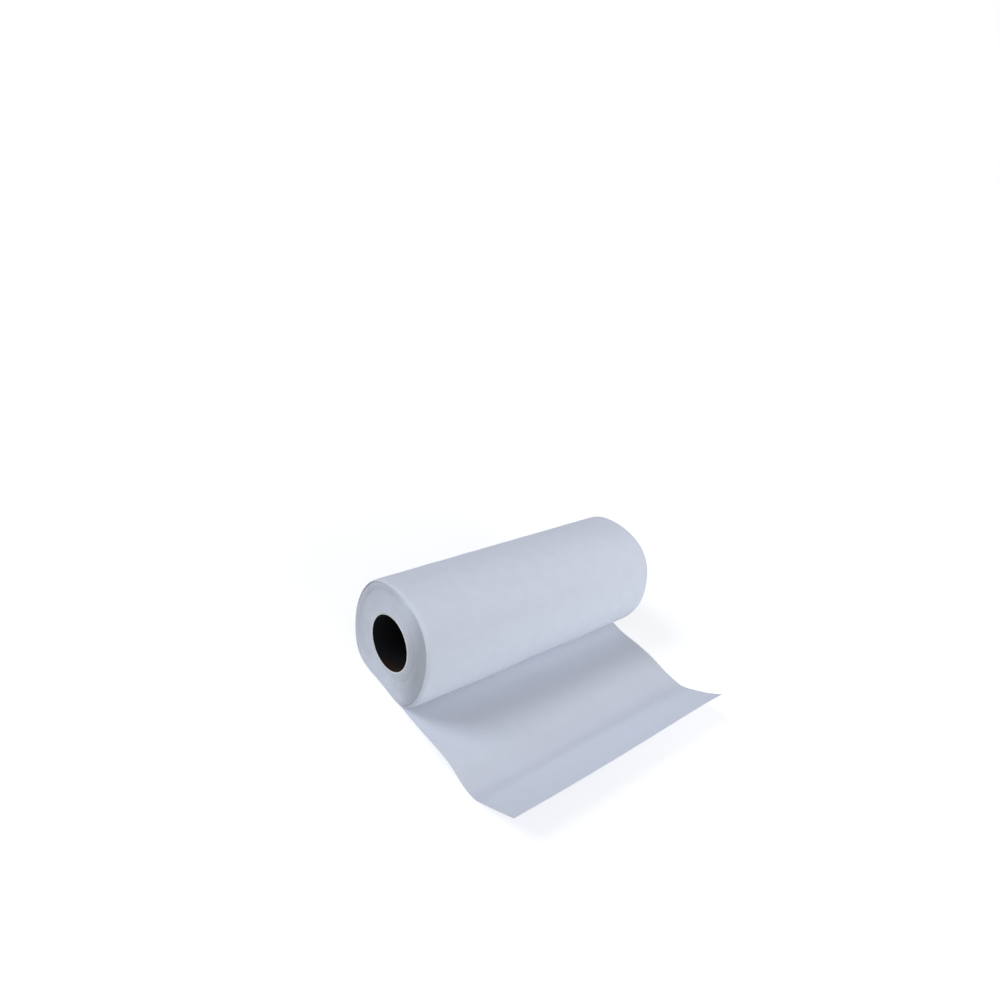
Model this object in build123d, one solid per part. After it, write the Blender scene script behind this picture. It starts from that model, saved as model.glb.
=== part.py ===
# Kitchen paper towel roll, lying on its side with its first sheet pulled out in front.
# The strip of paper is wound on a cardboard core. The axis of the core is the X axis and
# its middle is the origin, +Z is up, and the pulled sheet runs out towards -Y. Left and
# right are as seen from the side of the pulled sheet.
# All sizes are in millimetres.

from build123d import *
import math
import os

# Strip of paper: its width is also the length of the roll
strip_width = 230.0
strip_caliper = 0.4

# Cardboard core, cut flush with the roll
core_bore_radius = 21.5
core_wall = 0.7

# Section of the wound roll. A soft roll leaves its pack a little square: it has four
# flattened sides and four rounder corners, and its weight presses a flat spot under it.
wound_thickness = 22.8
corner_bulge = 2.0
side_half_angle = 22.5
flat_spot_depth = 5.5
flat_spot_half_width = 16.5
end_edge_bevel = 0.8

# Turns on the two end faces. They stand proud and sunk by turns, which shows their edges:
# a spiral groove as wide as the spiral ridge beside it.
turn_pairs = 7
sunk_turn_depth = 0.6
turn_margin = 0.8
arcs_per_turn = 12

# Pulled sheet. It lies flat where it comes out from under the roll, rises in a low hump,
# comes down to a dip and curls up to a straight flap at its free edge. Distances are from
# the front end of the flat spot. The sheet was pulled a little askew, so at its right side
# every distance is shorter by the skew.
sheet_skew = 7.0
hump_distance = 66.0
hump_rise = 2.7
dip_distance = 91.0
curl_radius = 33.0
curl_angle = 33.5
flap_length = 29.0

core_outer_radius = core_bore_radius + core_wall
side_half_width = core_outer_radius + wound_thickness
axis_height = side_half_width - flat_spot_depth
left_end = Plane.YZ.offset(-strip_width / 2)
right_end = Plane.YZ.offset(strip_width / 2)


def roll_outline():
    """Edges of the roll's section, counterclockwise from the front end of the flat spot."""
    cos_side = math.cos(math.radians(side_half_angle))
    sin_side = math.sin(math.radians(side_half_angle))
    # Radii of the flattened side and of the rounder upper corner that meets it without a kink
    radius_step = corner_bulge / (cos_side + (math.sqrt(2) - 1) * sin_side - 1)
    side_radius = side_half_width + radius_step * (cos_side - sin_side)
    side_offset = side_radius - side_half_width
    corner_radius = side_radius - radius_step
    corner_offset = radius_step * sin_side
    corner_angle = 90 - 2 * side_half_angle
    # Lower corner: touches the flat spot at its end, and the flattened side above it
    lower_reach = flat_spot_half_width + side_offset
    lower_radius = (side_radius**2 - lower_reach**2 - axis_height**2) / (side_radius - axis_height) / 2
    lower_height = lower_radius - axis_height
    lower_angle = math.degrees(math.atan2(lower_height, lower_reach))
    side_angle = side_half_angle - lower_angle
    return [
        Line((-flat_spot_half_width, -axis_height), (flat_spot_half_width, -axis_height)),
        CenterArc((flat_spot_half_width, lower_height), lower_radius, -90, 90 + lower_angle),
        CenterArc((-side_offset, 0), side_radius, lower_angle, side_angle),
        CenterArc((corner_offset, corner_offset), corner_radius, side_half_angle, corner_angle),
        CenterArc((0, -side_offset), side_radius, 90 - side_half_angle, 2 * side_half_angle),
        CenterArc((-corner_offset, corner_offset), corner_radius, 90 + side_half_angle, corner_angle),
        CenterArc((side_offset, 0), side_radius, 180 - side_half_angle, side_angle),
        CenterArc((-flat_spot_half_width, lower_height), lower_radius, 180 - lower_angle, 90 + lower_angle),
    ]


def sunk_turns(skin):
    """Outline of the spiral groove, from where the sheet leaves the skin in to the core."""
    first_depth = (end_edge_bevel + turn_margin) / wound_thickness
    depth_per_pair = (1 - 2 * first_depth) / (turn_pairs + 0.5)
    arc_count = turn_pairs * arcs_per_turn

    def point(rounds, groove_side):
        # Depth 0 is on the skin and depth 1 on the core, straight towards the axis
        depth = first_depth + (rounds + groove_side) * depth_per_pair
        on_skin = skin @ (rounds % 1)
        on_core = on_skin.normalized() * core_outer_radius
        return on_skin + (on_core - on_skin) * depth

    def spiral(groove_side):
        points = [point(half_arc / arcs_per_turn / 2, groove_side) for half_arc in range(2 * arc_count + 1)]
        return [ThreePointArc(*points[start : start + 3]) for start in range(0, 2 * arc_count, 2)]

    outer = spiral(0)
    inner = spiral(0.5)
    closing = [Line(outer[0] @ 0, inner[0] @ 0), Line(outer[-1] @ 1, inner[-1] @ 1)]
    return make_face(outer + inner + closing)


def level_bend(first, last):
    """Two equal arcs from one point to another, level at both."""
    middle = (first + last) / 2
    first_arc = TangentArc(first, middle, tangent=Vector(-1, 0))
    return [first_arc, TangentArc(middle, last, tangent=first_arc % 1)]


def pulled_sheet():
    """The free sheet, as thick as the paper, rooted inside the roll at the flat spot."""
    start = Vector(-flat_spot_half_width, -axis_height)
    root = start / 2 + Vector(0, -axis_height / 2)
    leaving = start + Vector(-sheet_skew, 0)
    hump = start + Vector(-hump_distance, hump_rise)
    dip = start + Vector(-dip_distance, 0)
    curl = JernArc(dip, (-1, 0), curl_radius, -curl_angle)
    flap = Line(curl @ 1, curl @ 1 + (curl % 1) * flap_length)
    lower_line = Wire([Line(root, leaving), *level_bend(leaving, hump), *level_bend(hump, dip), curl, flap])
    side_edge = make_face(offset(lower_line, strip_caliper, side=Side.RIGHT))
    # Square to the skewed sheet, through the left end of the axis
    skewed = Plane(left_end.origin, x_dir=(-sheet_skew, strip_width, 0), z_dir=(strip_width, sheet_skew, 0))
    sheet = extrude(skewed * side_edge, 2 * strip_width, both=True)
    sheet = split(sheet, left_end, keep=Keep.TOP)
    return split(sheet, right_end, keep=Keep.BOTTOM)


def cardboard_core():
    """Plain tube, open at both ends."""
    wall = Circle(core_outer_radius) - Circle(core_bore_radius)
    return extrude(left_end * wall, strip_width)


def wound_paper():
    """The whole strip: the wound roll and, in one piece with it, the pulled sheet."""
    outline = roll_outline()
    roll = extrude(left_end * make_face(outline), strip_width)
    end_faces = roll.faces().filter_by(Axis.X)
    roll = chamfer(end_faces.edges(), end_edge_bevel)
    roll -= extrude(left_end * Circle(core_outer_radius), strip_width)
    groove = sunk_turns(Wire(outline))
    roll -= extrude(left_end * groove, sunk_turn_depth)
    roll -= extrude(right_end * groove, -sunk_turn_depth)
    return roll + pulled_sheet()


os.makedirs("parts", exist_ok=True)
export_step(cardboard_core(), "parts/cardboard_core.step")
export_step(wound_paper(), "parts/wound_paper.step")
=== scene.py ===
import math

import bpy
import numpy as np
from mathutils import Euler, Matrix


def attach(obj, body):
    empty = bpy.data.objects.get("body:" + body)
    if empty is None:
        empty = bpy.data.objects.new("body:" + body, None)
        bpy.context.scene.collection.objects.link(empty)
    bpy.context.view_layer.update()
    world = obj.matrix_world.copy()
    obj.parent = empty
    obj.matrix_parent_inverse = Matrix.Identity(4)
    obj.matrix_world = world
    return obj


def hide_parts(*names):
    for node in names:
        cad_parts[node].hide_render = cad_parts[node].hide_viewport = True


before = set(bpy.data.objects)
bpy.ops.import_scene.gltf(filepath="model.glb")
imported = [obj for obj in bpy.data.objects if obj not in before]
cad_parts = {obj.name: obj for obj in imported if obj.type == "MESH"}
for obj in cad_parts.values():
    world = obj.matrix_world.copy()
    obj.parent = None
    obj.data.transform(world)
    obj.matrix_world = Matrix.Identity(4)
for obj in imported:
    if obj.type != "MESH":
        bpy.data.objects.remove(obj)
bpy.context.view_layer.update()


# The cardboard core: a tube wound on a slant from two strips of recycled board, one over the
# other, and cut to the width of the towel. It keeps the shape of its solid. Paper dust
# whitens its cut ends, and the slanting joint of the inner strip shows inside it.
MM = 0.001
HALF_WIDTH = 115.0
# The inner strip's joint moves this far along the core in a turn, and half its width is this
# share of the way
STRIP_RISE = 110 * MM
JOINT_HALF = 0.006
DUST_DEPTH = 0.1 * MM
# Painted light: the board is painted browner low in the front of both mouths, where light falls in: which
# way, how far from the axis and how far from the middle. Each pair is an edge and its softness
PAINTED_LIGHT_TOWARDS = (-0.39, -0.92)
PAINTED_LIGHT_FROM = (18.5 * MM, 3.0 * MM)
PAINTED_LIGHT_MOUTH = (108.5 * MM, 5.0 * MM)
# The board is painted near black with a blue cast, as painted shade of the tube's dim inside, in random
# patches between these two
BOARD_PAINTED_SHADE_DEEP = (0.0032, 0.0036, 0.0050, 1)
BOARD_PAINTED_SHADE_PALE = (0.0050, 0.0054, 0.0070, 1)
BOARD_PAINTED_LIGHT = (0.022, 0.0085, 0.0012, 1)
FIBRE_GREY = (0.014, 0.012, 0.011, 1)
JOINT_SHADE = (0.002, 0.0018, 0.0018, 1)
DUST_WHITE = (0.93, 0.93, 0.92, 1)


class Value:
    """One output of a look's nodes. Sums on it add their Math nodes."""

    def __init__(self, look, socket):
        self.look = look
        self.socket = socket

    def also(self, output):
        """Another output of the same node."""
        return Value(self.look, self.socket.node.outputs[output])

    def maths(self, operation, *others):
        """A Math node on this value and the others."""
        return self.look.maths(operation, self, *others)

    def __add__(self, other):
        return self.maths("ADD", other)

    def __sub__(self, other):
        return self.maths("SUBTRACT", other)

    def __rsub__(self, other):
        return self.look.maths("SUBTRACT", other, self)

    def __mul__(self, other):
        return self.maths("MULTIPLY", other)

    def __truediv__(self, other):
        return self.maths("DIVIDE", other)

    def __rtruediv__(self, other):
        return self.look.maths("DIVIDE", other, self)

    __radd__ = __add__
    __rmul__ = __mul__

    def over(self, edge, softness):
        """0 below an edge and 1 above it, with a soft step between."""
        sockets = {"Value": self, "From Min": edge - softness, "From Max": edge + softness}
        return self.look.node("ShaderNodeMapRange", {"interpolation_type": "SMOOTHSTEP"}, sockets)


class Look:
    """The nodes of a material, or of the world."""

    def __init__(self, owner):
        owner.use_nodes = True
        self.owner = owner
        self.tree = owner.node_tree
        self.tree.nodes.clear()

    def node(self, kind, settings, sockets, output=0):
        """A new node with its settings and the values or links of its sockets. Gives one output."""
        made = self.tree.nodes.new(kind)
        for name, value in settings.items():
            setattr(made, name, value)
        for name, value in sockets.items():
            if isinstance(value, Value):
                self.tree.links.new(value.socket, made.inputs[name])
            else:
                made.inputs[name].default_value = value
        return Value(self, made.outputs[output]) if made.outputs else None

    def maths(self, operation, *values):
        """A Math node on the values, in their order."""
        return self.node("ShaderNodeMath", {"operation": operation}, dict(enumerate(values)))

    def axes(self, place):
        """X, Y and Z of a place."""
        x = self.node("ShaderNodeSeparateXYZ", {}, {"Vector": place})
        return x, x.also("Y"), x.also("Z")

    def noise(self, place, scale, detail):
        """Soft chance between 0 and 1. A higher scale has a finer grain."""
        sockets = {"Vector": place, "Scale": scale, "Detail": detail}
        return self.node("ShaderNodeTexNoise", {}, sockets, "Fac")

    def mix(self, share, first, second):
        """Colour from first to second. The sockets' places are those of the colour mode."""
        return self.node("ShaderNodeMix", {"data_type": "RGBA"}, {0: share, 6: first, 7: second}, 2)

    def layered(self, colour, *layers):
        """A colour with others laid over it in turn, each by its share."""
        for share, layer in layers:
            colour = self.mix(share, colour, layer)
        return colour

    def matt(self, colour, height, relief, roughness, gloss):
        """Finish a dull surface. Relief is the strength and the depth of its bumps."""
        strength, depth = relief
        bump = self.node("ShaderNodeBump", {}, {"Strength": strength, "Distance": depth, "Height": height})
        sockets = {"Base Color": colour, "Roughness": roughness, "Specular IOR Level": gloss, "Normal": bump}
        return self.finish(self.node("ShaderNodeBsdfPrincipled", {}, sockets))

    def finish(self, surface, output="ShaderNodeOutputMaterial"):
        """Join the surface to the output, and give the material or the world."""
        self.node(output, {}, {"Surface": surface})
        return self.owner


board = Look(bpy.data.materials.new("recycled_board"))
board_place = board.node("ShaderNodeTexCoord", {}, {}, "Object")
board_x, board_y, board_z = board.axes(board_place)
round_core = board_y.maths("ARCTAN2", board_z) / math.tau
across_strip = (board_x / STRIP_RISE + round_core).maths("FRACT")
joint = 1 - (across_strip - 0.5).maths("ABSOLUTE").over(JOINT_HALF, JOINT_HALF / 2)
# Painted light: brown where light falls in, low in the front of both mouths
towards_painted_light = board_y * PAINTED_LIGHT_TOWARDS[0] + board_z * PAINTED_LIGHT_TOWARDS[1]
from_core_middle = board_x.maths("ABSOLUTE")
painted_light_low_front = towards_painted_light.over(*PAINTED_LIGHT_FROM) * from_core_middle.over(*PAINTED_LIGHT_MOUTH)
dust = from_core_middle.over(HALF_WIDTH * MM - DUST_DEPTH, DUST_DEPTH / 2)
board_patches = board.noise(board_place, scale=60, detail=2)
board_fibres = board.noise(board_place, scale=420, detail=4)
# The board's colour: painted shade, near black in random patches, then painted light in brown low in the
# front of the mouths, its fibres, its joint and the dust on its cut ends
board_colour = board.layered(
    board.mix(board_patches, BOARD_PAINTED_SHADE_DEEP, BOARD_PAINTED_SHADE_PALE),
    (painted_light_low_front, BOARD_PAINTED_LIGHT),
    (board_fibres.over(0.62, 0.12) * 0.25, FIBRE_GREY),
    (joint * 0.4, JOINT_SHADE),
    (dust, DUST_WHITE),
)
board_height = board_fibres * 0.4 - joint
board_material = board.matt(board_colour, board_height, relief=(0.5, 0.3 * MM), roughness=0.9, gloss=0.2)
core = bpy.data.objects["cardboard_core"]
core.data.materials.clear()
core.data.materials.append(board_material)


# The wound turns: the rest of the strip of two-ply paper, rolled up tightly on the core from
# its glued inner end. The roll is a little square with a flat spot under it, and the edges
# of its turns stand unevenly, as the winding left them.
CORE_RADIUS = 22.2
PITCH = 0.4
TURNS = 57
WALL = PITCH * TURNS
# Section of the roll: half its width, how far its rounder corners stand out past a circle,
# half the angle of a flattened side, and the flat spot under it
SIDE = CORE_RADIUS + WALL
CORNER_BULGE = 2.0
SIDE_HALF_ANGLE = 22.5
FLAT_SPOT = (16.5, -39.5)
POINTS_PER_ARC = 60
# Where the wall of the roll is thickest, at its rounder corners
FULL_WALL = SIDE + CORNER_BULGE - CORE_RADIUS
# The free sheet, from its torn edge to the nip, where it leaves the roll
FREE_LENGTH = 139.6
# These turns are this part of the strip, in turns from the nip
WOUND_FROM = 1.0
WOUND_TO = 56.3
STEPS_PER_TURN = 150
# A hair over the pitch, so that the turns touch
WOUND_CALIPER = 0.41


def skin_arcs():
    """Centre, radius, first angle and sweep of each arc of the skin, from the front end of
    the flat spot and up the back."""
    cosine = math.cos(math.radians(SIDE_HALF_ANGLE))
    sine = math.sin(math.radians(SIDE_HALF_ANGLE))
    step = CORNER_BULGE / (cosine + (math.sqrt(2) - 1) * sine - 1)
    side_radius = SIDE + step * (cosine - sine)
    side_offset = side_radius - SIDE
    corner_radius = side_radius - step
    corner = step * sine
    reach = FLAT_SPOT[0] + side_offset
    low_radius = (side_radius**2 - reach**2 - FLAT_SPOT[1] ** 2) / (side_radius + FLAT_SPOT[1]) / 2
    low_height = low_radius + FLAT_SPOT[1]
    low_angle = math.degrees(math.atan2(low_height, reach))
    side_sweep = SIDE_HALF_ANGLE - low_angle
    corner_sweep = 90 - 2 * SIDE_HALF_ANGLE
    return (
        ((FLAT_SPOT[0], low_height), low_radius, -90, 90 + low_angle),
        ((-side_offset, 0), side_radius, low_angle, side_sweep),
        ((corner, corner), corner_radius, SIDE_HALF_ANGLE, corner_sweep),
        ((0, -side_offset), side_radius, 90 - SIDE_HALF_ANGLE, 2 * SIDE_HALF_ANGLE),
        ((-corner, corner), corner_radius, 90 + SIDE_HALF_ANGLE, corner_sweep),
        ((side_offset, 0), side_radius, 180 - SIDE_HALF_ANGLE, side_sweep),
        ((-FLAT_SPOT[0], low_height), low_radius, 180 - low_angle, 90 + low_angle),
    )


def skin_line():
    """Points of the skin and how far round each is."""
    points = [(-FLAT_SPOT[0], FLAT_SPOT[1])]
    for centre, radius, first, sweep in skin_arcs():
        for angle in np.radians(np.linspace(first, first + sweep, POINTS_PER_ARC)):
            points.append((centre[0] + radius * math.cos(angle), centre[1] + radius * math.sin(angle)))
    points = np.array(points)
    lengths = np.concatenate([[0.0], np.cumsum(np.linalg.norm(np.diff(points, axis=0), axis=1))])
    return points, lengths


skin_points, skin_lengths = skin_line()
SKIN_LENGTH = skin_lengths[-1]


def on_turn(turns, inwards):
    """Place in the section after so many turns from the nip, at a depth in from the skin."""
    along = (turns % 1.0) * SKIN_LENGTH
    skin = np.stack([np.interp(along, skin_lengths, skin_points[:, axis]) for axis in (0, 1)], -1)
    core_side = skin / np.linalg.norm(skin, axis=-1, keepdims=True) * CORE_RADIUS
    return skin + (core_side - skin) * (inwards / WALL)[..., None]


def paper_depth(turns):
    """Depth of the middle of the paper's thickness, one pitch more for every turn."""
    return (turns + 0.5) * PITCH


def along_strip(turns):
    """Metres along the strip from its free edge."""
    return (FREE_LENGTH + turns * SKIN_LENGTH) * MM


def ease(value, start, end):
    """0 before the start and 1 past the end, with a soft step between."""
    share = np.clip((value - start) / (end - start), 0, 1)
    return share * share * (3 - 2 * share)


def swell(turns, size, at, wide):
    """Its size at one place round the roll, falling softly to 0 on both sides of it."""
    return size * np.exp(-(((turns % 1.0) - at) / wide) ** 2)


# Places round the roll are shares of a turn from the nip, up the back and down the front,
# and a swell has its size, place and width. The first turn stands off at the upper back
SLACK = (0.45, 0.37, 0.09)
# The skin stands out at the lower front of the left half, where it was let go
LET_GO = 1.6
LET_GO_STARTS = (0.79, 0.88)
LET_GO_ENDS = (0.985, 0.935)
LEFT_HALF = (15, -50)
# It also stands out at the upper front of the right end, and is flatter below
RIGHT_BULGE = (1.5, 0.64, 0.08)
RIGHT_FLAT = (-1.2, 0.92, 0.06)
RIGHT_END = (40, HALF_WIDTH)
# The ends of the outer turns are pressed in, the left ones more than the right ones: hardly
# at the lower back, more up the back and most at the front
PRESSED = (2.0, 0.3)
PRESSED_LOW = 0.15
PRESSED_BACK = 0.30
PRESSED_FRONT = 0.55
BACK_STARTS = (0.10, 0.22)
FRONT_STARTS = (0.46, 0.60)
FRONT_ENDS = (1.0, 0.9)
# Both forms fade over about this depth under the skin
FORM_DEPTH = 3.0


def bulge(turns, x):
    """How far the skin stands out from its section."""
    place = turns % 1.0
    let_go = LET_GO * ease(place, *LET_GO_STARTS) * ease(place, *LET_GO_ENDS)
    right = swell(turns, *RIGHT_BULGE) + swell(turns, *RIGHT_FLAT)
    return let_go * ease(x, *LEFT_HALF) + right * ease(x, *RIGHT_END)


def press(turns, left):
    """How far the ends are pressed in."""
    place = turns % 1.0
    sides = PRESSED_BACK * ease(place, *BACK_STARTS) + PRESSED_FRONT * ease(place, *FRONT_STARTS)
    return (PRESSED_LOW + sides * ease(place, *FRONT_ENDS)) * np.where(left, *PRESSED)


# The edges of the turns lie about this far within the ends of the roll. Each turn steps in
# or out by chance, and so do slower swells, which lean to one side
EDGE_WITHIN = 0.25
TURNS_PER_SWELL = 5
SWELLS = 14
STEP_SIZE = 0.10
SWELL_SIZE = 0.16
LEAN_SHARE = 0.6
unevenness = np.random.default_rng(11)
edge_steps = unevenness.normal(size=(2, SWELLS * TURNS_PER_SWELL)) * STEP_SIZE
edge_swells = unevenness.normal(size=(2, SWELLS)) * SWELL_SIZE
edge_leans = unevenness.uniform(0, math.tau, size=(2, SWELLS))
# The outermost edges roll in, most at the upper front, down to about this depth
ROLLED_IN = 0.15
ROLLED_FRONT = (1.6, 0.58, 0.13)
ROLLED_DEPTH = 2.0
# Each end is a little hollow, between these depths under the skin
HOLLOW = 0.9
HOLLOW_STARTS = (1.5, 7.5)
HOLLOW_ENDS = (10.6, 22.6)


def wound_place(across, along):
    """Lays the wound turns, which have only their two edges and a line midway."""
    turns = WOUND_FROM + along * (WOUND_TO - WOUND_FROM)
    depth = paper_depth(turns)
    ends = np.rint(across * 2 - 1)
    slack = swell(turns, *SLACK) * (1 - depth / WALL)
    form = press(turns, across < 0.5) - bulge(turns, ends * HALF_WIDTH)
    section = on_turn(turns, depth + slack + form * np.exp(-depth / FORM_DEPTH) * np.abs(ends))
    wall_share = (np.linalg.norm(on_turn(turns, 0 * turns), axis=-1) - CORE_RADIUS) / FULL_WALL
    rolled = (ROLLED_IN + swell(turns, *ROLLED_FRONT)) * np.exp(-depth / ROLLED_DEPTH)
    hollow = HOLLOW * ease(depth, *HOLLOW_STARTS) * np.interp(depth, HOLLOW_ENDS, (1, 0))
    x = np.zeros_like(across)
    for end, side in enumerate((-1, 1)):
        step = np.interp(turns, np.arange(SWELLS * TURNS_PER_SWELL), edge_steps[end])
        wave = np.interp(turns / TURNS_PER_SWELL, np.arange(SWELLS), edge_swells[end])
        lean = np.interp(turns / TURNS_PER_SWELL, np.arange(SWELLS), edge_leans[end])
        wave = wave * (1 + LEAN_SHARE * np.sin(turns * math.tau + lean))
        reach = HALF_WIDTH - EDGE_WITHIN + step + wave - rolled - hollow
        x = np.where(ends == side, side * np.minimum(reach, HALF_WIDTH), x)
    return np.column_stack([x, section]), along_strip(turns), wall_share


# How far a strip's columns close up towards its side edges, where the paper bends
CLOSED_UP = 0.85
SMOOTH_BELOW = math.radians(50)


def laid_strip(name, columns, rows, place, thickness):
    """A strip of paper: a flat grid, laid by place(across, along), both from 0 to 1.

    place gives where each point goes, how far along the strip it is, and its share of
    the full thickness.
    """
    bpy.ops.object.select_all(action="DESELECT")
    bpy.ops.mesh.primitive_grid_add(x_subdivisions=columns, y_subdivisions=rows, size=1.0)
    strip = bpy.context.object
    strip.name = name
    strip.data.name = name
    flat = np.empty(len(strip.data.vertices) * 3)
    strip.data.vertices.foreach_get("co", flat)
    flat = flat.reshape(-1, 3)
    to_side = CLOSED_UP * np.sin(flat[:, 0] * math.pi) + (1 - CLOSED_UP) * 2 * flat[:, 0]
    across = 0.5 + 0.5 * to_side
    along = flat[:, 1] + 0.5
    places, metres_along, shares = place(across, along)
    strip.data.vertices.foreach_set("co", (places * MM).ravel())
    corner = np.empty(len(strip.data.loops), dtype=int)
    strip.data.loops.foreach_get("vertex_index", corner)
    paper_map = strip.data.uv_layers[0]
    paper_map.name = "paper"
    flat_places = np.stack([across * 2 * HALF_WIDTH * MM, metres_along], -1)[corner]
    paper_map.uv.foreach_set("vector", flat_places.ravel())
    squeezed = strip.vertex_groups.new(name="thickness")
    for index, share in enumerate(shares):
        squeezed.add([index], float(share), "REPLACE")
    wall = strip.modifiers.new("wall", "SOLIDIFY")
    wall.thickness = thickness * MM
    wall.offset = 0.0
    wall.vertex_group = "thickness"
    bpy.ops.object.modifier_apply(modifier="wall")
    strip.vertex_groups.clear()
    bpy.ops.object.shade_smooth_by_angle(angle=SMOOTH_BELOW)
    return strip


# The paper is creped and embossed with dimples, and a row of slits crosses it. These are in
# metres, and a pair is an edge and its softness
CREPE_STRETCH = 0.22
DIMPLE = 3.2 * MM
SLITS_AT = 230 * MM
SLIT_PITCH = 5.2 * MM
SLIT_LINE = (0.22 * MM, 0.08 * MM)
SLIT_SHARE = (0.78, 0.03)
# The free sheet is painted a shade duller than the roll, as painted shade, up to this far along
FREE_SHEET_SHADE_REACH = ((FREE_LENGTH - 5.1) * MM, 3 * MM)
# A faint fold crosses it, this many millimetres from its free edge
FOLD_AT = 39.5
# Its line is painted darker too, as painted shade of the crease: its half width and softness
FOLD_SHADED = (3.5 * MM, 3.8 * MM)
# The cut edges are streaky and paler. They carry painted shade at the front and the upper back
# of the roll, with random dull patches, and they are white in the last turn, on the core
CUT_EDGE = (HALF_WIDTH * MM - 0.08 * MM, 0.04 * MM)
STREAKS_PER_METRE = 2.2
FRONT_LEAN = 0.2
END_SHADE_FRONT = (23.7 * MM, 12.3 * MM)
END_SHADE_BACK = (44 * MM, 12 * MM)
LAST_TURN = (along_strip(WOUND_TO - 1.08), 20 * MM)
PAPER_SHADED = (0.728, 0.755, 0.822, 1)
PAPER_WHITE = (0.752, 0.778, 0.844, 1)
FIBRE_WHITE = (0.80, 0.82, 0.875, 1)
SLIT_SHADE = (0.30, 0.32, 0.37, 1)
FREE_SHEET_PAINTED_SHADE = (0.685, 0.712, 0.785, 1)
FOLD_SHADE = (0.58, 0.60, 0.665, 1)
STREAK_SHADE = (0.50, 0.52, 0.565, 1)
EDGE_WHITE = (0.81, 0.835, 0.88, 1)
EDGE_PAINTED_SHADE = (0.54, 0.56, 0.595, 1)
LAST_WHITE = (0.93, 0.93, 0.93, 1)

paper = Look(bpy.data.materials.new("two_ply_paper"))
paper_flat = paper.node("ShaderNodeUVMap", {"uv_map": "paper"}, {}, "UV")
paper_across, paper_along, _ = paper.axes(paper_flat)
crepe_sockets = {"X": paper_across * CREPE_STRETCH, "Y": paper_along}
crepe = paper.noise(paper.node("ShaderNodeCombineXYZ", {}, crepe_sockets), scale=1500, detail=3)
clouds = paper.noise(paper_flat, scale=90, detail=3)
fibres = paper.noise(paper_flat, scale=700, detail=4)
dimple_across = (paper_across * (math.tau / DIMPLE)).maths("SINE")
dimple_along = (paper_along * (math.tau / DIMPLE)).maths("SINE")
dimples = (dimple_across * dimple_along).over(0.55, 0.35)
# The slits are painted darker, as painted shade in their cuts, and they also sink in the bumps
on_line = 1 - (paper_along - SLITS_AT).maths("ABSOLUTE").over(*SLIT_LINE)
slits = on_line * (1 - (paper_across / SLIT_PITCH).maths("FRACT").over(*SLIT_SHARE))
# Painted shade over the free sheet
free_sheet_painted_shade = 1 - paper_along.over(*FREE_SHEET_SHADE_REACH)
# Painted shade along the fold's crease
fold_painted_shade = 1 - (paper_along - FOLD_AT * MM).maths("ABSOLUTE").over(*FOLD_SHADED)
cut_edge = (paper_across - HALF_WIDTH * MM).maths("ABSOLUTE").over(*CUT_EDGE)
streak_sockets = {"X": paper_along * STREAKS_PER_METRE, "Y": 0.5}
streaks = paper.noise(paper.node("ShaderNodeCombineXYZ", {}, streak_sockets), scale=1, detail=4)
paper_place = paper.node("ShaderNodeTexCoord", {}, {}, "Object")
_, paper_y, paper_z = paper.axes(paper_place)
# Painted shade on the ends of the turns, at the front and the upper back of the roll
front_painted_shade = (paper_z * FRONT_LEAN - paper_y).over(*END_SHADE_FRONT)
back_painted_shade = (paper_y + paper_z).over(*END_SHADE_BACK)
dull_patches = paper.noise(paper_place, scale=45, detail=2).over(0.55, 0.20)
dull = (dull_patches * 0.25 + front_painted_shade * 0.95 + back_painted_shade * 0.30).maths("MINIMUM", 1.0)
paper_colour = paper.layered(
    paper.mix(clouds.over(0.5, 0.25), PAPER_SHADED, PAPER_WHITE),
    (fibres.over(0.60, 0.15) * 0.25, FIBRE_WHITE),
    (slits * 0.6, SLIT_SHADE),
    (free_sheet_painted_shade * 0.5, FREE_SHEET_PAINTED_SHADE),
    (fold_painted_shade * 0.35, FOLD_SHADE),
    (cut_edge * streaks.over(0.5, 0.22) * 0.22, STREAK_SHADE),
    (cut_edge * 0.7, EDGE_WHITE),
    (cut_edge * dull, EDGE_PAINTED_SHADE),
    (cut_edge * paper_along.over(*LAST_TURN), LAST_WHITE),
)
paper_height = crepe * 0.35 + fibres * 0.3 + clouds * 0.5 - dimples * 0.5 - slits * 2.0
paper_material = paper.matt(paper_colour, paper_height, relief=(0.35, 0.25 * MM), roughness=0.95, gloss=0.15)

turn_steps = round((WOUND_TO - WOUND_FROM) * STEPS_PER_TURN)
wound_turns = laid_strip("wound_turns", 2, turn_steps, wound_place, WOUND_CALIPER)
wound_turns.data.materials.append(paper_material)
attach(wound_turns, "root")
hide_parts("wound_paper")
mean_depth = (WOUND_FROM + WOUND_TO) / 2 / TURNS
mean_turn = SKIN_LENGTH + (math.tau * CORE_RADIUS - SKIN_LENGTH) * mean_depth
(WOUND_TO - WOUND_FROM) * mean_turn * MM


# The first sheet: the outer end of the same strip, laid once round the roll. It comes out
# from under it, rises in a low hump, lies down in a dip and curls up at its torn free edge.
# The row of slits, where the next sheet tears off, crosses it behind the roll.
SHEET_LENGTH = FREE_LENGTH + SKIN_LENGTH
SHEET_CALIPER = 0.36
SHEET_COLUMNS = 115
SHEET_ROWS = 260
# Most rows lie across the free part, where the paper bends
FREE_ROWS = 0.6
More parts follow.
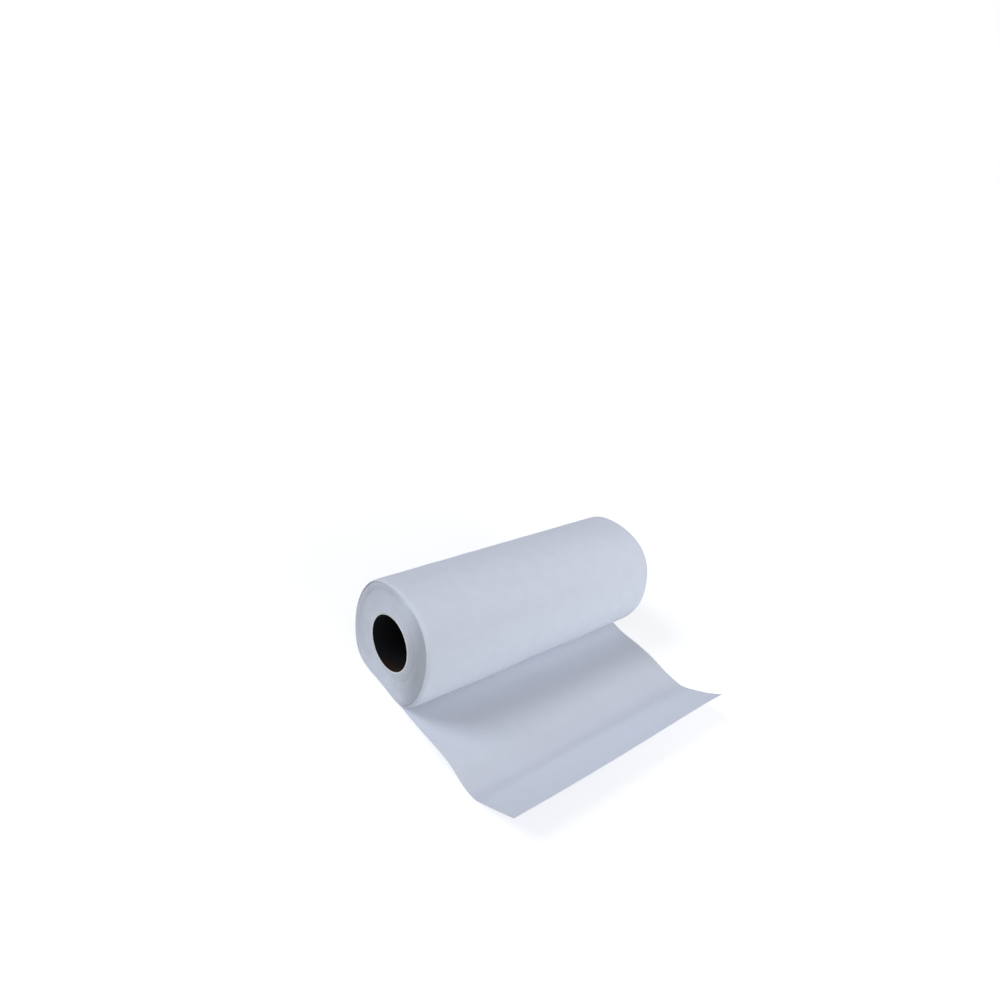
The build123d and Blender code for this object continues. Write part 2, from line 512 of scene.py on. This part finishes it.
# Each stop along the sheet: its distance from the nip, its height and its slope, at the
# left edge, in the middle and at the right edge
SHEET_STOPS = (
    ((0.0, 0.0, 0.0), (0.0, 0.0, 0.0), (0.0, 0.0, 0.0)),
    ((17.0, 16.0, 15.0), (1.7, 3.1, 2.2), (-2.0, -6.0, -8.0)),
    ((29.0, 31.0, 28.0), (2.1, 0.9, 0.5), (2.0, 0.0, 1.0)),
    ((68.0, 69.0, 56.0), (4.2, 4.6, 1.9), (0.0, 0.0, 0.0)),
    ((93.5, 92.0, 82.0), (0.0, 0.0, 0.0), (0.0, 0.0, 0.0)),
    ((109.0, 103.0, 104.0), (5.2, 2.6, 4.8), (29.0, 29.0, 30.0)),
    ((135.1, 132.1, 126.1), (21.5, 21.5, 21.5), (33.5, 36.0, 42.0)),
)
FULLNESS = 0.4
STEPS_PER_STRETCH = 24
# The right corner of the free edge is pulled out by so much, over this share of the width
CORNER_PULL = 2.0
CORNER_SHARE = 0.10
# The pulled sheet lies narrower at its right side: by how much at a distance from the nip
NARROWED_AT = (0.0, 14.0, 30.0, 50.0, 95.0, 115.0, 142.0)
NARROWED_BY = (0.0, 4.1, 2.6, 1.8, 1.6, 0.3, -1.0)
# The sheet's edges lie this far within the ends of the roll. Round the roll they bend over
# into the pressed ends, in the last few millimetres of the width, from just past the nip
EDGE_GAP = 0.3
SHOULDER = 3.5
PRESSING_STARTS = (0, 12)
# The skin was wound a little askew
ASKEW = ((1.2, 0.60, 0.09), (-1.1, 0.87, 0.06), (-0.5, 0.12, 0.08))
ASKEW_STARTS = (0, 25)
# Gentle waves: the least and the most of their size, width, length and phase
WAVES = 9
WAVE_RANGES = ((0.3, 1.0), (18, 60), (25, 90), (0, math.tau))
# How high they stand on the free sheet, past the nip, and on the skin, where it is clear of
# the floor and up to the end of its turn
FREE_WAVES = 0.25
FREE_WAVES_START = (0, 25)
SKIN_WAVES = 0.18
SKIN_WAVES_START = (0, 3)
SKIN_WAVES_END = (0.9, 1.0)
# The groove of the fold
FOLD_DEPTH = 0.5
FOLD_WIDTH = 2.5
# The part of the skin, in turns, that overhangs the first few millimetres of the free sheet
OVERHANG = np.linspace(1.0, 0.915, 40)
# Just short of the whole turn, where places round the roll start again at 0
WHOLE_TURN = 0.99999
# Half a pitch over the floor, for the middle of the paper's thickness
LOWEST = FLAT_SPOT[1] + PITCH / 2


def free_line(across):
    """The free sheet's line at one place across it, from the nip out to the free edge."""
    weights = ((1 - across) * (1 - 2 * across), 4 * across * (1 - across), across * (2 * across - 1))
    places = []
    directions = []
    for distance, height, slope in np.array(SHEET_STOPS) @ weights:
        angle = math.radians(slope)
        places.append(np.array([-FLAT_SPOT[0] - distance, FLAT_SPOT[1] + height]))
        directions.append(np.array([-math.cos(angle), math.sin(angle)]))
    places[-1][0] -= CORNER_PULL * math.exp((across - 1) / CORNER_SHARE)
    line = []
    for first, last, out_of, into in zip(places, places[1:], directions, directions[1:]):
        handle = np.linalg.norm(last - first) * FULLNESS
        bend = (first, first + out_of * handle, last - into * handle, last)
        for share in np.linspace(0.0, 1.0, STEPS_PER_STRETCH, endpoint=False):
            parts = ((1 - share) ** 3, 3 * share * (1 - share) ** 2, 3 * share**2 * (1 - share), share**3)
            line.append(sum(part * point for part, point in zip(parts, bend)))
    line.append(places[-1])
    return np.array(line)


free_steps = np.linalg.norm(np.diff(free_line(0.5), axis=0), axis=1)
free_lengths = np.concatenate([[0.0], np.cumsum(free_steps)]) * FREE_LENGTH / free_steps.sum()
chance = np.random.default_rng(5)
waves = [[chance.uniform(*limits) for limits in WAVE_RANGES] for _ in range(WAVES)]


def ripple(x, along):
    """Gentle waves of the paper, from 0 to 1."""
    total = 0
    for size, wide, long, phase in waves:
        total = total + size * np.sin(math.tau * (x / wide + along / long) + phase)
    return 0.5 + 0.5 * np.tanh(total / 2)


def free_section(x, from_edge, across):
    """Section of the free sheet, column by column, kept under the overhang of the roll."""
    section = np.empty((len(x), 2))
    columns, column = np.unique(across.round(6), return_inverse=True)
    for index, place in enumerate(columns):
        here = column == index
        out = FREE_LENGTH - from_edge[here]
        line = free_line(place)
        y, z = (np.interp(out, free_lengths, line[:, axis]) for axis in (0, 1))
        waving = FREE_WAVES * np.interp(out, FREE_WAVES_START, (0, 1))
        groove = FOLD_DEPTH * np.exp(-(((from_edge[here] - FOLD_AT) / FOLD_WIDTH) ** 2))
        z += PITCH / 2 + waving * ripple(x[here], from_edge[here]) - groove
        roof = on_turn(OVERHANG, paper_depth(OVERHANG) - bulge(OVERHANG, x[here][0]))
        room = np.interp(-y, -roof[:, 0], roof[:, 1], right=0.0) - PITCH
        section[here] = np.column_stack([y, np.minimum(z, np.maximum(room, LOWEST))])
    return section


def skin_section(x, from_edge, turns, pressed):
    """Section of the turn round the roll, kept above the floor."""
    off_floor = on_turn(turns, 0 * turns)[:, 1] - FLAT_SPOT[1]
    waving = SKIN_WAVES * np.interp(off_floor, SKIN_WAVES_START, (0, 1))
    waving = waving * np.interp(turns, SKIN_WAVES_END, (1, 0)) * ripple(x, from_edge)
    section = on_turn(turns, paper_depth(turns) + pressed - waving - bulge(turns, x))
    section[:, 1] = np.maximum(section[:, 1], LOWEST)
    return section


def rounded(share):
    """Drop of a round shoulder, from 0 where it starts to 1 where it ends."""
    return 1 - np.sqrt(1 - share**2)


def sheet_place(across, along):
    """Lays the first sheet: its free part, then its turn round the roll."""
    from_edge = np.interp(along, (0.0, FREE_ROWS, 1.0), (0.0, FREE_LENGTH, SHEET_LENGTH))
    past_nip = from_edge - FREE_LENGTH
    turns = np.clip(past_nip / SKIN_LENGTH, 0, WHOLE_TURN)
    x = (across * 2 - 1) * (HALF_WIDTH - EDGE_GAP)
    over_shoulder = 1 - np.clip((HALF_WIDTH - np.abs(x)) / SHOULDER, 0, 1)
    x += sum(swell(turns, *place) for place in ASKEW) * ease(past_nip, *ASKEW_STARTS)
    pressed = press(turns, x < 0) * ease(past_nip, *PRESSING_STARTS)
    pressed *= rounded(over_shoulder) / rounded(1 - EDGE_GAP / SHOULDER)
    x -= across * np.interp(-past_nip, NARROWED_AT, NARROWED_BY)
    free = free_section(x, from_edge, across)
    skin = skin_section(x, from_edge, turns, pressed)
    section = np.where(past_nip[:, None] < 0, free, skin)
    return np.column_stack([x, section]), from_edge * MM, np.ones_like(x)


first_sheet = laid_strip("first_sheet", SHEET_COLUMNS, SHEET_ROWS, sheet_place, SHEET_CALIPER)
first_sheet.data.materials.append(paper_material)
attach(first_sheet, "root")
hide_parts("wound_paper")
SHEET_LENGTH * MM


# The floor: a plain pale studio sweep under the roll, which keeps its soft shadow. It glows
# for the camera and for reflections, so that it goes on white to the edge of the frame.
FLOOR_WIDTH = 8.0
FLOOR_GREY = (0.60, 0.61, 0.63, 1)
FLOOR_GLOW = 0.60
WHITE = (1, 1, 1, 1)


def seen(look):
    """1 for a ray from the camera, straight or by gloss or glass, and 0 for one that lights."""
    camera_ray = look.node("ShaderNodeLightPath", {}, {}, "Is Camera Ray")
    shiny_ray = camera_ray.maths("MAXIMUM", camera_ray.also("Is Glossy Ray"))
    return shiny_ray.maths("MAXIMUM", camera_ray.also("Is Transmission Ray"))


bpy.ops.object.select_all(action="DESELECT")
bpy.ops.mesh.primitive_plane_add(size=FLOOR_WIDTH, location=(0, 0, FLAT_SPOT[1] * MM))
floor = bpy.context.object
floor.name = "floor"
sweep = Look(bpy.data.materials.new("pale_floor"))
sweep_paint = sweep.node("ShaderNodeBsdfDiffuse", {}, {"Color": FLOOR_GREY})
sweep_glow = sweep.node("ShaderNodeEmission", {}, {"Color": WHITE, "Strength": seen(sweep) * FLOOR_GLOW})
sweep_surface = sweep.node("ShaderNodeAddShader", {}, {0: sweep_paint, 1: sweep_glow})
floor.data.materials.append(sweep.finish(sweep_surface))


# The light: a pale room all round, three broad distant lamps and a small near one at the
# right. The distant one high behind the left end casts the roll's soft shadow on the first
# sheet, and the others are in front and at the left.
ROOM_LEVEL = 0.30


def new_lamp(name, kind, energy, colour):
    """A lamp in the scene, still to be placed."""
    data = bpy.data.lights.new(name, kind)
    data.energy = energy
    data.color = colour
    lamp = bpy.data.objects.new(name, data)
    bpy.context.collection.objects.link(lamp)
    return lamp


def distant_lamp(name, towards, level, width, colour):
    """A lamp so many degrees wide. Level is how bright it makes white paper that faces it."""
    lamp = new_lamp(name, "SUN", level * math.pi, colour)
    lamp.data.angle = math.radians(width)
    x, y, z = np.array(towards) / np.linalg.norm(towards)
    lamp.rotation_euler = (0, math.acos(z), math.atan2(y, x))


def near_lamp(name, place, level, distance, radius, colour):
    """A round lamp. Level is how bright it makes white paper that faces it at a distance."""
    lamp = new_lamp(name, "POINT", level * 4 * math.pi**2 * distance**2, colour)
    lamp.data.shadow_soft_size = radius
    lamp.location = place


distant_lamp("lamp_above", towards=(-0.82, 0.75, 1.0), level=0.411, width=30, colour=(0.94, 1.0, 1.13))
distant_lamp("lamp_in_front", towards=(0, -1, 0.36), level=0.231, width=40, colour=(0.91, 1.0, 1.06))
distant_lamp("lamp_at_left", towards=(-0.7, -0.7, 0.84), level=0.084, width=40, colour=(1.0, 1.0, 1.06))
near_lamp(
    "lamp_at_right",
    place=(0.30, -0.45, 0.20),
    level=0.219,
    distance=0.5,
    radius=0.15,
    colour=(0.99, 1.0, 1.03),
)
room = Look(bpy.data.worlds.new("pale_room"))
room_level = seen(room) * (1 - ROOM_LEVEL) + ROOM_LEVEL
room_light = room.node("ShaderNodeBackground", {}, {"Color": WHITE, "Strength": room_level})
bpy.context.scene.world = room.finish(room_light, "ShaderNodeOutputWorld")
bpy.context.scene.view_settings.view_transform = "Standard"


# The camera: it stands high in front of the left end and looks over the roll towards the
# back right, turned a little about its own line of sight.
SENSOR_WIDTH = 36.0
FOCAL_LENGTH = 32.9
# Where it stands, in metres, and its turn about X, Y and Z, in degrees
STANDPOINT = (-0.45202, -0.35646, 0.45360)
TURNED = (56.4272, -14.6219, -39.1529)
camera_data = bpy.data.cameras.new("camera")
camera_data.sensor_width = SENSOR_WIDTH
camera_data.lens = FOCAL_LENGTH
camera = bpy.data.objects.new("camera", camera_data)
bpy.context.collection.objects.link(camera)
camera.matrix_world = Matrix.LocRotScale(STANDPOINT, Euler(map(math.radians, TURNED)), None)
bpy.context.scene.camera = camera
